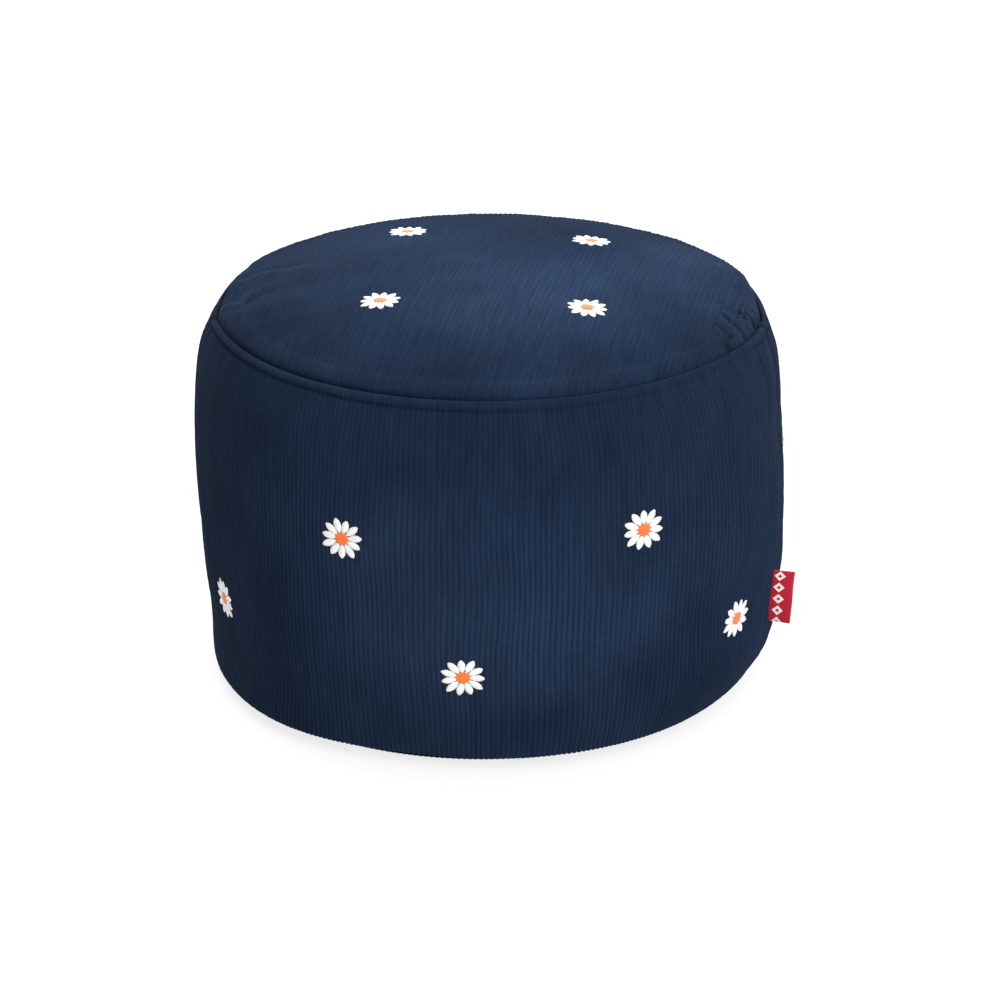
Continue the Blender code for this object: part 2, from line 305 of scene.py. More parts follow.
# The top is measured on a grid in plan, out to where its rim begins to dip into the seam.
top_cell = 0.004
top_steps = np.arange(-0.224, 0.2241, top_cell)
measured_radius = 0.208
smooth_radius, smooth_fade = 0.205, 0.040
top_x, top_y = np.meshgrid(top_steps, top_steps)
top_radius = np.maximum(np.hypot(top_x, top_y), 1e-6)
inwards = np.minimum(1.0, measured_radius / top_radius)
top_places = list(zip((top_x * inwards).ravel(), (top_y * inwards).ravel()))
top_field, taut_field, blown_field = (
    np.array([height_under(skin, x, y) for x, y in top_places]).reshape(top_x.shape)
    for skin in (solid_top, taut_skin, blown_skin)
)
top_azimuth = np.arctan2(top_y, top_x)
near_seam_ends = np.maximum(
    bell(degrees_from(top_azimuth, -12.0) / 26.0), bell(degrees_from(top_azimuth, 176.0) / 24.0)
)
top_folds = folds_of(blown_field, taut_field, wraps=False) * (0.20 + 0.55 * near_seam_ends)
inner_share = np.clip((smooth_radius - top_radius) / smooth_fade, 0.0, 1.0)
smooth_middle, crisp_rim = blurred(top_field, 3.2), blurred(top_field, 1.2)
top_field = smooth_middle * inner_share + crisp_rim * (1.0 - inner_share) + top_folds


dip_reach = 0.034
shoulders = (
    # azimuth and spread in degrees, radius, spread, rise
    (17.0, 17.0, 0.210, 0.032, 0.0034),
    (9.0, 9.0, 0.214, 0.022, 0.0034),
    (56.0, 17.0, 0.205, 0.032, -0.0026),
    (96.0, 26.0, 0.208, 0.030, -0.0014),
    (140.0, 18.0, 0.205, 0.032, -0.0010),
    (166.0, 14.0, 0.210, 0.032, 0.0038),
)


def top_height(x, y):
    """Height of the stuffed top in plan, with a rounded shoulder from the measured part to the seam."""
    radius = np.maximum(np.hypot(x, y), 1e-6)
    azimuth = np.arctan2(y, x)
    inwards = np.minimum(1.0, measured_radius / radius)
    row, column = ((place * inwards - top_steps[0]) / top_cell for place in (y, x))
    inner_radius = np.minimum(radius, measured_radius)
    near_seam = np.clip(1.0 - (seam_radius - inner_radius) / dip_reach, 0.0, 1.0)
    measured = between_cells(top_field, row, column) + seam_settling(azimuth) * near_seam**1.5
    for middle, spread, middle_radius, radial_spread, rise in shoulders:
        ring = (inner_radius - middle_radius) / radial_spread
        measured = measured + rise * bell(degrees_from(azimuth, middle) / spread, ring)
    fullness = 1.7 + 1.6 * bell(degrees_from(azimuth, 162.0) / 20.0)
    fullness = fullness + 0.9 * bell(degrees_from(azimuth, 15.0) / 12.0)
    to_rim = np.clip((radius - measured_radius) / (seam_radius - measured_radius), 0.0, 1.0) ** fullness
    return measured * (1.0 - to_rim) + seam_height(azimuth) * to_rim


# Wall =================================================================================================
# A band of corduroy with its ribs upright, sewn to itself at two side seams and to the panels above and
# below. Its seam allowance is turned down inside, which lifts a rounded ridge under the top seam.

rib_rise = 0.0008
wall_ribs = 356
rib_section = np.array([0.0, 0.78, 1.0, 0.78])
noise_span = 4.5
ridge_shapes = (
    # azimuth in degrees, share of the full ridge, width
    (-180.0, 0.65, 0.0054),
    (-165.0, 0.85, 0.0056),
    (-150.0, 0.95, 0.0060),
    (-130.0, 1.00, 0.0066),
    (-110.0, 0.90, 0.0074),
    (-85.0, 0.55, 0.0080),
    (-65.0, 0.32, 0.0078),
    (-38.0, 0.12, 0.0072),
    (-28.0, 0.18, 0.0072),
    (-20.0, 0.60, 0.0074),
    (-12.0, 0.85, 0.0076),
    (5.0, 0.60, 0.0076),
    (20.0, 0.20, 0.0076),
    (90.0, 0.70, 0.0086),
    (140.0, 0.45, 0.0074),
    (158.0, 0.12, 0.0052),
    (171.0, 0.12, 0.0050),
    (180.0, 0.65, 0.0054),
)
side_creases = (
    # start azimuth in degrees, start height, end azimuth in degrees, end height, half width, depth
    (-11.0, 0.158, -27.0, 0.144, 0.0060, 0.0014),
    (-13.5, 0.132, -24.0, 0.116, 0.0045, -0.0009),
    (-15.0, 0.120, -21.5, 0.062, 0.0050, 0.0012),
    (-13.0, 0.205, -22.0, 0.198, 0.0050, 0.0008),
)
ridge_turns, ridge_shares, ridge_widths = zip(*ridge_shapes)
usual_ridge_width = 0.0078


def ridge_strength(azimuth):
    """Share of the full ridge under the top seam at each azimuth."""
    return np.interp(np.degrees(wrapped(azimuth)), ridge_turns, ridge_shares)


def smooth_step(value):
    """0 up to 0, 1 from 1 on, and an easy curve between them."""
    value = np.clip(value, 0.0, 1.0)
    return value * value * (3.0 - 2.0 * value)


def noise_waves(seed):
    """The direction, the phase and the relative pace of each wave that a noise is made of."""
    chance = np.random.default_rng(seed)
    for _ in range(14):
        turn, phase = chance.uniform(0.0, 2.0 * np.pi, 2)
        yield turn, phase, chance.uniform(0.6, 1.7)


def soft_noise(x, y, size, seed):
    """Smooth noise between about -1 and 1 over a plane, made of waves about so long, in metres."""
    total = 0.0
    for turn, phase, length in noise_waves(seed):
        pace = 2.0 * np.pi / (size * length)
        total = total + np.sin(pace * (x * np.cos(turn) + y * np.sin(turn)) + phase)
    return total / noise_span


def round_noise(azimuth, height, size, seed):
    """Smooth noise over the wall that meets itself where the azimuth wraps round."""
    total = 0.0
    around = 2.0 * np.pi * seam_radius / size
    for turn, phase, quickness in noise_waves(seed):
        pace = around * quickness
        whole_waves = round(pace * np.cos(turn))
        total = total + np.sin(whole_waves * azimuth + pace * np.sin(turn) * height / seam_radius + phase)
    return total / noise_span


def normals_of(points):
    """Unit normals of a grid of points whose columns wrap round, as seen from outside."""
    across = np.roll(points, -1, axis=1) - np.roll(points, 1, axis=1)
    up = np.gradient(points, axis=0)
    normal = np.cross(across, up)
    return normal / np.linalg.norm(normal, axis=2, keepdims=True)


def grid_faces(rows, columns, wraps=False):
    """Quads between the neighbours in a grid of points, whose last column may join its first."""
    index = np.arange(rows * columns).reshape(rows, columns)
    if wraps:
        index = np.hstack([index, index[:, :1]])
    corners = [index[:-1, :-1], index[:-1, 1:], index[1:, 1:], index[1:, :-1]]
    return np.stack(corners, axis=2).reshape(-1, 4)


def fan_faces(loop, tip):
    """Triangles from the neighbours in a closed loop of points to a tip."""
    return np.stack([loop, np.roll(loop, -1), np.full(len(loop), tip)], axis=1)


def share_along(x, y, end_x, end_y):
    """How far along a line from the origin to an end places lie, as a share, and how far from it."""
    share = np.clip((x * end_x + y * end_y) / (end_x**2 + end_y**2), 0.0, 1.0)
    return share, np.hypot(x - share * end_x, y - share * end_y)


def mesh_piece(name, points, faces, flat_place, attributes, *materials):
    """A mesh object with its map of the flat cloth, in metres, its attributes and its materials."""
    mesh = bpy.data.meshes.new(name)
    mesh.from_pydata(points, [], faces)
    corners = np.empty(len(mesh.loops), dtype=np.int32)
    mesh.loops.foreach_get("vertex_index", corners)
    layer = mesh.uv_layers.new(name="cloth")
    layer.data.foreach_set("uv", flat_place(corners).astype(np.float32).ravel())
    for attribute_name, values in attributes.items():
        attribute = mesh.attributes.new(attribute_name, "FLOAT", "POINT")
        attribute.data.foreach_set("value", values.astype(np.float32))
    for material in materials:
        mesh.materials.append(material)
    mesh.shade_smooth()
    piece = bpy.data.objects.new(name, mesh)
    bpy.context.scene.collection.objects.link(piece)
    return piece


def feed(tree, node, values):
    """Give inputs of a node, by name or number, a number, a colour or another node's output each."""
    for socket, value in values.items():
        if isinstance(value, bpy.types.NodeSocket):
            tree.links.new(value, node.inputs[socket])
        else:
            node.inputs[socket].default_value = value


def add_node(tree, kind, values):
    """A new node whose inputs take the given values."""
    node = tree.nodes.new(kind)
    feed(tree, node, values)
    return node


def worked_out(tree, operation, *terms):
    """The result of one arithmetic step on numbers or other nodes' outputs."""
    step = tree.nodes.new("ShaderNodeMath")
    step.operation = operation
    feed(tree, step, dict(enumerate(terms)))
    return step.outputs["Value"]


def blended(tree, factor, first, second, kind="MIX"):
    """Two colours mixed by a factor."""
    mix = tree.nodes.new("ShaderNodeMix")
    mix.data_type = "RGBA"
    mix.blend_type = kind
    feed(tree, mix, {"Factor": factor, "A": first, "B": second})
    return mix.outputs["Result"]


def finish_material(name):
    """A new material, with its node tree and its shader."""
    material = bpy.data.materials.new(name)
    material.use_nodes = True
    return material, material.node_tree, material.node_tree.nodes["Principled BSDF"]


def corduroy_material(name):
    """Navy cotton corduroy: soft pile on the ribs and a darker ground between them, brushed patches, and
    the painted light and shade that each piece carries.
    """
    material, tree, shader = finish_material(name)
    place = tree.nodes.new("ShaderNodeTexCoord")
    crest = tree.nodes.new("ShaderNodeAttribute")
    crest.attribute_name = "rib"
    painted_light = tree.nodes.new("ShaderNodeAttribute")
    painted_light.attribute_name = "painted_light"

    def noise(coordinates, scale, detail, stretch=(1.0, 1.0, 1.0)):
        """Soft noise on the given coordinates, stretched by a scale for each axis."""
        mapping = {"Vector": place.outputs[coordinates], "Scale": stretch}
        mapped = add_node(tree, "ShaderNodeMapping", mapping).outputs["Vector"]
        values = {"Vector": mapped, "Scale": scale, "Detail": detail}
        return add_node(tree, "ShaderNodeTexNoise", values).outputs["Fac"]

    def spread(value, low, high):
        """A noise value brought from its usual range to low and high."""
        values = {"Value": value, "From Min": 0.3, "From Max": 0.7, "To Min": low, "To Max": high}
        return add_node(tree, "ShaderNodeMapRange", values).outputs["Result"]

    tufts = noise("UV", 1.0, 3.0, (1100.0, 260.0, 1.0))
    strokes = noise("UV", 1.0, 2.0, (230.0, 24.0, 1.0))
    brushing_and_painted_light = noise("Object", 16.0, 3.0)
    raised = noise("Object", 11.0, 2.0, (1.0, 1.0, 0.6))
    faded = spread(noise("Object", 7.0, 2.0), 0.0, 1.0)
    fuzz = noise("Object", 2600.0, 2.0)

    # The ground between the ribs is darker than the pile on their crests. This is partly the cloth's own
    # colour, and partly painted shade in the valleys with painted light on the crests.
    ground = blended(tree, faded, (0.0070, 0.0130, 0.0272, 1.0), (0.0064, 0.0126, 0.0285, 1.0))
    pile = blended(tree, faded, (0.0121, 0.0228, 0.0480, 1.0), (0.0111, 0.0223, 0.0502, 1.0))
    pile_shown = worked_out(tree, "MULTIPLY", crest.outputs["Fac"], spread(raised, 0.45, 0.95))
    cloth = blended(tree, pile_shown, ground, pile)
    shade = spread(brushing_and_painted_light, 0.92, 1.08)
    # The painted light and shade that each piece carries multiplies the cloth's colour here.
    for factor in (spread(strokes, 0.88, 1.12), spread(tufts, 0.84, 1.16), painted_light.outputs["Fac"]):
        shade = worked_out(tree, "MULTIPLY", shade, factor)

    tuft_bump = add_node(tree, "ShaderNodeBump", {"Height": tufts, "Strength": 0.35, "Distance": 0.0005})
    fuzz_bump = add_node(tree, "ShaderNodeBump", {"Height": fuzz, "Strength": 0.25, "Distance": 0.0003})
    feed(tree, fuzz_bump, {"Normal": tuft_bump.outputs["Normal"]})
    looks = {
        "Base Color": blended(tree, 1.0, cloth, shade, "MULTIPLY"),
        "Normal": fuzz_bump.outputs["Normal"],
        "Roughness": 0.95,
        "Specular IOR Level": 0.0,
        "Sheen Weight": 0.022,
        "Sheen Roughness": 0.45,
        "Sheen Tint": (0.95, 0.98, 1.0, 1.0),
    }
    feed(tree, shader, looks)
    return material


corduroy = corduroy_material("navy_corduroy")
# Painted shade: how dark the cloth is painted deep in a seam, where shadow falls.
deepest_seam_shade = 0.30
# Painted light and shade on the wall: broad patches made lighter or darker to stand in for how the light
# falls, lighter in the front middle and darker on the left.
wall_patches = (
    # azimuth and spread in degrees, height, spread, painted light added, which is painted shade where it is
    # below 0
    (-92.0, 32.0, 0.135, 0.075, 0.40),
    (-157.0, 12.0, 0.190, 0.130, -0.18),
    (-134.0, 11.0, 0.110, 0.110, -0.30),
    (-140.0, 7.0, 0.265, 0.050, -0.18),
    (-111.0, 8.0, 0.215, 0.035, 0.14),
    (-71.0, 10.0, 0.285, 0.035, -0.20),
    (-81.0, 13.0, 0.045, 0.026, -0.28),
    (-132.0, 10.0, 0.020, 0.018, -0.16),
    (-60.0, 7.0, 0.080, 0.022, -0.20),
    (-62.0, 7.0, 0.125, 0.030, 0.14),
    (-50.0, 7.0, 0.285, 0.030, -0.15),
    (-49.0, 6.0, 0.115, 0.035, -0.22),
    (-47.0, 14.0, 0.040, 0.035, -0.26),
    (-32.0, 12.0, 0.190, 0.130, -0.10),
)
# Painted light and shade on the top: lighter over the middle and back, as sheen and the light from above
# would make it, and darker near the front rim, which faces away from the light.
top_patches = (
    # x, y, spread, painted light added, which is painted shade where it is below 0
    (0.030, 0.010, 0.150, 0.26),
    (0.050, -0.070, 0.085, 0.22),
    (-0.010, -0.110, 0.060, 0.12),
    (0.055, -0.125, 0.040, 0.10),
    (0.160, 0.070, 0.050, 0.30),
    (0.150, -0.010, 0.045, 0.18),
    (0.065, 0.075, 0.050, -0.22),
    (-0.110, 0.080, 0.060, 0.24),
    (-0.185, -0.090, 0.040, -0.34),
    (-0.150, -0.150, 0.035, -0.28),
    (-0.100, -0.200, 0.035, -0.20),
    (-0.035, -0.205, 0.035, -0.18),
    (0.075, -0.205, 0.035, -0.20),
    (0.140, -0.170, 0.035, -0.24),
    (0.175, -0.125, 0.038, -0.25),
)
seam_slides = (
    # side seam, slide in degrees, height where it starts, rise over which it grows
    (side_seams[0], 6.5, 0.095, 0.055),
    (side_seams[0], 2.0, 0.200, 0.100),
    (side_seams[1], 14.5, 0.010, 0.290),
)


def rib_drift(azimuth, height):
    """How far the ribs, and the side seams with them, have slid round the footstool at a height."""
    drift = 0.0016 * round_noise(azimuth, height, 0.150, 21) / seam_radius
    for seam, slide, start, growth in seam_slides:
        slid = np.radians(slide) * smooth_step((height - start) / growth)
        drift = drift + slid * bell(along_cloth(azimuth, seam) / 0.075)
    front_right = bell(degrees_from(azimuth, -42.0) / 22.0)
    return drift - 0.026 * front_right * smooth_step((height - 0.245) / 0.070)


draws = (
    # azimuth and spread in degrees, height, spread, depth
    (-8.0, 15.0, 0.185, 0.055, 0.0022),
    (-4.0, 18.0, 0.280, 0.035, 0.0018),
    (-2.0, 18.0, 0.128, 0.032, 0.0018),
    (-12.0, 18.0, 0.036, 0.026, -0.0018),
    (-6.0, 14.0, 0.062, 0.022, 0.0016),
    (-30.0, 20.0, 0.010, 0.022, 0.0034),
    (-136.0, 24.0, 0.012, 0.020, -0.0052),
    (-108.0, 16.0, 0.012, 0.020, 0.0044),
)


def drawn_in(azimuth, height):
    """How far the seams draw the side's cloth in, or the filling presses it out, in broad stretches."""
    depth_in = 0.0
    for middle, spread, middle_height, up_spread, depth in draws:
        up = (height - middle_height) / up_spread
        depth_in = depth_in + depth * bell(degrees_from(azimuth, middle) / spread, up)
    return depth_in


def stuffed_side(azimuth, height):
    """Distance of the side's cloth from the Z axis: the stuffed form, creased and slightly uneven."""
    radius = side_reach(azimuth, height) - drawn_in(azimuth, height)
    for start_turn, start_height, end_turn, end_height, half_width, depth in side_creases:
        length = np.radians(end_turn - start_turn) * seam_radius
        aside = along_cloth(azimuth, np.radians(start_turn))
        share, away = share_along(aside, height - start_height, length, end_height - start_height)
        radius = radius - depth * bell(away / half_width) * (1.0 - 0.6 * share)
    rise = smooth_step((height - 0.020) / 0.030)
    return radius + 0.0007 * rise * round_noise(azimuth, height * 0.45, 0.055, 6)


def seam_shade_share(strength):
    """Share of the full painted shade in the top seam, which is less where the ridge is low."""
    return 0.45 + 0.55 * smooth_step(strength * 1.3)


wall_columns = wall_ribs * len(rib_section)
column_azimuths = side_seams[0] + 2.0 * np.pi * np.arange(wall_columns) / wall_columns
seam_z = seam_height(column_azimuths)
top_azimuths = column_azimuths + rib_drift(column_azimuths, seam_z)
strength = ridge_strength(top_azimuths)
ridge_width = np.interp(np.degrees(wrapped(top_azimuths)), ridge_turns, ridge_widths)
ridge_rise = (0.0003 + 0.0021 * strength) * ridge_width / usual_ridge_width
foot_z = seam_z - ridge_width * 0.85

# The wall, from above its bottom corner to the foot of the ridge. Its last stretch is straight.
wall_bottom = 0.013
straight_stretch = 0.0205
body_share = np.append(np.linspace(0.0, 0.982, 52), [0.9880, 0.9925, 0.9962, 1.0])
body_z = wall_bottom + (foot_z - wall_bottom) * body_share[:, None]
body_azimuth = column_azimuths + rib_drift(column_azimuths, body_z)
measured_top = seam_z - straight_stretch
shoulder_reach = seam_radius + 0.0012 + 0.0023 * smooth_step((strength - 0.10) / 0.25)
shoulder = (shoulder_reach - stuffed_side(top_azimuths, measured_top)) / (seam_z - measured_top)
above = np.clip(body_z - measured_top, 0.0, None)
body_radius = stuffed_side(body_azimuth, np.minimum(body_z, measured_top)) + shoulder * above

# The rounded ridge, from the line at its foot over its crest, and two rings down into the seam.
ridge_share = np.linspace(0.0, 1.0, 9)[1:, None]
ridge_lift = ridge_rise * np.sin(np.pi * ridge_share**0.85) ** 0.7
chord_r, chord_z = seam_radius - body_radius[-1], seam_z - foot_z
chord = np.hypot(chord_r, chord_z)
ridge_radius = body_radius[-1] + chord_r * ridge_share + ridge_lift * chord_z / chord
ridge_z = foot_z + chord_z * ridge_share - ridge_lift * chord_r / chord
ditch_radius = seam_radius - np.array([[0.0004], [0.0010]]) + 0.0 * seam_z
ditch_z = seam_z - np.array([[0.35], [1.00]]) * (0.0060 + 0.0040 * strength)

# The bottom corner, from the seam with the base panel up to the wall. Its first ring is turned up inside.
bottom_seam_z = 0.0092
corner_share = np.linspace(0.0, 1.0, 5)[:-1, None]
turned_up = np.array([[0.0012], [0.0], [0.0], [0.0]])
bottom_azimuths = body_azimuth[0]
half_chord = np.sqrt(base_seam_radius**2 - (base_shift * np.sin(bottom_azimuths)) ** 2)
base_reach = base_shift * np.cos(bottom_azimuths) + half_chord - 0.6 * drawn_in(bottom_azimuths, 0.012)
corner_radius = base_reach + (body_radius[0] - base_reach) * np.sin(np.pi / 2.0 * corner_share) ** 0.8
corner_rise = (wall_bottom - bottom_seam_z) * (1.0 - np.cos(np.pi / 2.0 * corner_share))
corner_z = bottom_seam_z + corner_rise + turned_up + 0.0 * seam_z

wall_radius = np.vstack([corner_radius, body_radius, ridge_radius, ditch_radius])
wall_z = np.vstack([corner_z, body_z, ridge_z, ditch_z])
rings_above = len(ridge_z) + len(ditch_z)
wall_azimuth = np.vstack([[bottom_azimuths] * len(corner_z), body_azimuth, [top_azimuths] * rings_above])

# A side seam draws the cloth in to a narrow groove, with small tucks beside it.
groove_depth, groove_width = 0.0040, 0.0024
tuck_depth, tuck_width, tuck_height = 0.0008, 0.012, 0.020
below = foot_z - wall_z
for seam in side_seams:
    aside = along_cloth(column_azimuths, seam)
    groove = groove_depth * np.exp(-np.abs(aside) / groove_width)
    tucks = tuck_depth * soft_noise(aside * 0.15, wall_z, tuck_height, 3)
    tucks = tucks * np.exp(-np.abs(aside) / tuck_width)
    wall_radius -= groove * (0.4 + 0.6 * np.clip(below / 0.012, 0.0, 1.0)) + tucks

# Under the ridge runs a soft line, and the cloth is slightly gathered below it.
wall_radius -= (0.0003 + 0.0012 * strength) * bell(below / 0.0014)
pucker_depth, pucker_length, pucker_reach = 0.0006, 0.016, 0.018
puckers = pucker_depth * round_noise(wall_azimuth, 0.0, pucker_length, 5)
fading = np.exp(-np.clip(below, 0.0, None) / pucker_reach)
wall_radius += puckers * fading * np.clip(below / 0.004, 0.0, 1.0)

# The ribs stand on that form. They are lower in the ridge and the seams, and worn flatter near the top.
wall_x, wall_y = wall_radius * np.cos(wall_azimuth), wall_radius * np.sin(wall_azimuth)
wall_points = np.stack([wall_x, wall_y, wall_z], axis=2)
rib_height = np.ones((len(wall_z), 1))
rib_height[:2] = 0.3
rib_height[-rings_above:, 0] = [0.75, 0.55, 0.45, 0.45, 0.45, 0.45, 0.5, 0.4, 0.3, 0.3]
rib_share = np.tile(rib_section, wall_ribs) * rib_height
worn_from, worn_over = 0.190, 0.080
worn_flat = 0.40 * smooth_step((wall_z - worn_from) / worn_over)
wear = (1.0 + 0.14 * round_noise(wall_azimuth, wall_z * 2.0, 0.012, 7)) * (1.0 - worn_flat)
wall_points += normals_of(wall_points) * (rib_share * wear * rib_rise)[:, :, None]
rib_share = 0.5 + (rib_share - 0.5) * (1.0 - worn_flat)

# Painted shade darkens the cloth in the seams, and a little in the line under the ridge, where shadow
# falls. Elsewhere broad patches of painted light and shade make it lighter and darker.
wall_unshaded = 1.0 - 0.45 * strength * bell(below / 0.0016)
wall_unshaded[-4:] = 1.0 - np.array([[0.1], [0.45], [1.0], [1.0]]) * seam_shade_share(strength)
for seam in side_seams:
    wall_unshaded *= 1.0 - 0.7 * bell(along_cloth(column_azimuths, seam) / 0.0014)
wall_painted_light = deepest_seam_shade + (1.0 - deepest_seam_shade) * wall_unshaded
for middle, spread, middle_height, up_spread, added in wall_patches:
    up = (wall_z - middle_height) / up_spread
    wall_painted_light *= 1.0 + added * bell(degrees_from(wall_azimuth, middle) / spread, up)

# The rings of points are joined, and closed by a point over the base panel and one under the top panel.
low_centre_height, high_centre_depth = 0.0065, 0.0090
ring_count = len(wall_points)
first_ring = np.arange(wall_columns)
last_ring = (ring_count - 1) * wall_columns + first_ring
low_centre = ring_count * wall_columns
centres = [(base_shift, 0.0, low_centre_height), (0.0, 0.0, cad_high.z - high_centre_depth)]
under, over = fan_faces(first_ring, low_centre)[:, ::-1], fan_faces(last_ring, low_centre + 1)
wall_faces = grid_faces(ring_count, wall_columns, wraps=True).tolist() + under.tolist() + over.tolist()


def wall_map(corners):
    """Place on the flat band of cloth: along it, and up it, in metres."""
    columns = corners % wall_columns
    rows = np.clip(corners // wall_columns, 0, ring_count - 1)
    heights = wall_z[rows, columns]
    last_column = wall_columns - 1
    closing = (np.roll(columns, 1) == last_column) | (np.roll(columns, -1) == last_column)
    columns = columns + wall_columns * (closing & (columns == 0))
    return np.stack([columns * 2.0 * np.pi * seam_radius / wall_columns, heights], axis=1)


wall = mesh_piece(
    "wall_cover",
    np.vstack([wall_points.reshape(-1, 3), centres]),
    wall_faces,
    wall_map,
    {
        "rib": np.append(rib_share.ravel(), [0.0, 0.0]),
        "painted_light": np.append(wall_painted_light.ravel(), [deepest_seam_shade, deepest_seam_shade]),
    },
    corduroy,
)
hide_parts("side_wall")
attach(wall, "root")


# Top panel ============================================================================================
# A round of the same corduroy, stretched over the filling. Its ribs run from front to back and lean to the
# right at the back. It is gathered where the side seam meets it, and its rim dips into the seam.

top_ribs = 102
top_rib_rise = 0.0005
top_thickness = 0.0023
rib_lean = np.radians(11.5)
rim_reach = 0.0050
gather_length, gather_width = 0.0150, 0.0074


def grid_rim(rows, columns):
    """The points round the rim of a grid, in order."""
    index = np.arange(rows * columns).reshape(rows, columns)
    return np.concatenate([index[0, :-1], index[:-1, -1], index[-1, :0:-1], index[:0:-1, 0]])


def band_faces(first, second):
    """Quads between two closed loops of as many points."""
    return np.stack([first, np.roll(first, -1), np.roll(second, -1), second], axis=1)


def ribbed_round(name, radius, shift, ribs, section, rows, outer, inner, facing, rise, lean, brushing_and_painted_light):
    """A round sheet whose ribs run in one direction, closed by a smooth face on its other side."""
    columns = ribs * len(section) + 1
    across = np.linspace(-0.9995, 0.9995, columns) * radius
    share = np.linspace(-1.0, 1.0, rows)
    share = 0.4 * share + 0.6 * np.sin(np.pi / 2.0 * share)
    u = np.broadcast_to(across, (rows, columns))
    v = share[:, None] * np.sqrt(radius**2 - across**2)
    x = u * np.cos(lean) + v * np.sin(lean)
    y = -u * np.sin(lean) + v * np.cos(lean)
    from_rim = radius - np.hypot(x, y)
    crest = np.append(np.tile(section, ribs), section[0]) * np.clip(from_rim / 0.0012, 0.25, 1.0)
    face = np.stack([x + shift, y, outer(x, y, u, v) + facing * crest * rise], axis=2)

    # Inside lie rings that shrink from the rim to a point in the middle.
    rim_loop = grid_rim(rows, columns)
    size = len(rim_loop)
    ring_scales = (1.0, 0.985, 0.95, 0.88, 0.72, 0.50, 0.25, 0.0)
    rings, loops = [], [rim_loop]
    for number, scale in enumerate(ring_scales):
        ring_x, ring_y = x.ravel()[rim_loop] * scale, y.ravel()[rim_loop] * scale
        rings.append(np.stack([ring_x + shift, ring_y, inner(ring_x, ring_y)], axis=1))
        loops.append(rows * columns + number * size + np.arange(size))
    points = np.vstack([face.reshape(-1, 3), *rings[:-1], rings[-1][:1]])
    bands = [band_faces(first, second)[:, ::-1] for first, second in zip(loops, loops[1:-1])]
    tip_faces = fan_faces(loops[-2], len(points) - 1)[:, ::-1]
    faces = grid_faces(rows, columns).tolist() + np.vstack(bands).tolist() + tip_faces.tolist()
    if facing < 0:
        faces = [corners[::-1] for corners in faces]

    inside = np.zeros(len(points) - rows * columns)
    rim_map = np.tile(rim_loop, len(rings) - 1)
    flat = [np.concatenate([place.ravel(), place.ravel()[rim_map], [0.0]]) for place in (u, v)]
    flat = np.stack(flat, axis=1)
    strength = ridge_strength(np.arctan2(y, x))
    # Painted shade darkens the rim where it dips into the seam, where shadow falls.
    rim_in_shade = 1.0 - smooth_step((from_rim - 0.0006) / (0.0014 + 0.0022 * strength))
    painted_light = 1.0 - (1.0 - deepest_seam_shade) * rim_in_shade * seam_shade_share(strength)
    attributes = {
        "rib": np.append(0.32 + 0.45 * crest.ravel(), inside),
        "painted_light": np.append((painted_light * brushing_and_painted_light(x, y, u, v)).ravel(), inside + deepest_seam_shade),
    }
    return mesh_piece(name, points, faces, lambda corners: flat[corners], attributes, corduroy)


def into_seam(x, y, depth):
    """How far the top panel's rim dips into its seam."""
    near = np.clip(1.0 - (seam_radius - np.hypot(x, y)) / rim_reach, 0.0, 1.0)
    return depth * near**1.8


gathers = (
    # x, y, spread, depth
    (0.2115, -0.041, 0.0165, 0.0023),
    (0.184, -0.098, 0.012, 0.0006),
    (-0.214, -0.002, 0.014, 0.0014),
)
top_creases = (
    # start x, start y, end x, end y, half width, rise, painted light added along the crease, which is
    # painted shade where it is below 0
    (0.185, -0.069, 0.196, -0.082, 0.0036, 0.0008, 0.06),
    (0.196, -0.082, 0.200, -0.094, 0.0038, 0.0015, 0.10),
    (0.200, -0.094, 0.192, -0.112, 0.0038, 0.0015, 0.08),
    (0.1905, -0.060, 0.2055, -0.084, 0.0032, -0.0018, -0.42),
    (0.184, -0.083, 0.193, -0.097, 0.0030, -0.0012, -0.28),
    (0.193, -0.097, 0.188, -0.114, 0.0028, -0.0012, -0.28),
    (0.191, -0.114, 0.193, -0.118, 0.0048, -0.0014, -0.38),
    (-0.222, -0.021, -0.207, -0.029, 0.0038, 0.0018, 0.38),
    (-0.207, -0.029, -0.200, -0.014, 0.0044, 0.0014, 0.25),
    (-0.202, -0.053, -0.153, -0.055, 0.0120, 0.0016, 0.0),
    (-0.197, -0.026, -0.185, -0.015, 0.0080, -0.0014, -0.22),
    (-0.183, -0.018, -0.150, -0.025, 0.0120, -0.0012, 0.0),
    (-0.209, 0.027, -0.150, 0.021, 0.0042, 0.0010, 0.32),
    (-0.199, 0.039, -0.165, 0.036, 0.0060, -0.0006, -0.22),
)


def gathered(x, y, u, v):
    """How far the cloth stands up or down where it is gathered beside the side seams."""
    folds = np.sin(2.0 * np.pi * v / gather_length + 2.0 * soft_noise(u, v, 0.02, 11))
    folds = folds * np.sin(2.0 * np.pi * u / gather_width + 1.5 * soft_noise(u, v, 0.02, 14))
    depth_here = 0.0
    for gather_x, gather_y, spread, depth in gathers:
        depth_here = depth_here + depth * bell(np.hypot(x - gather_x, y - gather_y) / spread)
    return -depth_here * (0.1 + 0.9 * folds)


def beside_crease(x, y, crease):
    """How near places are to a crease of the top: 1 along its line, and nothing a few half widths away."""
    start_x, start_y, end_x, end_y, half_width = crease[:5]
    _, away = share_along(x - start_x, y - start_y, end_x - start_x, end_y - start_y)
    return bell(away / half_width)


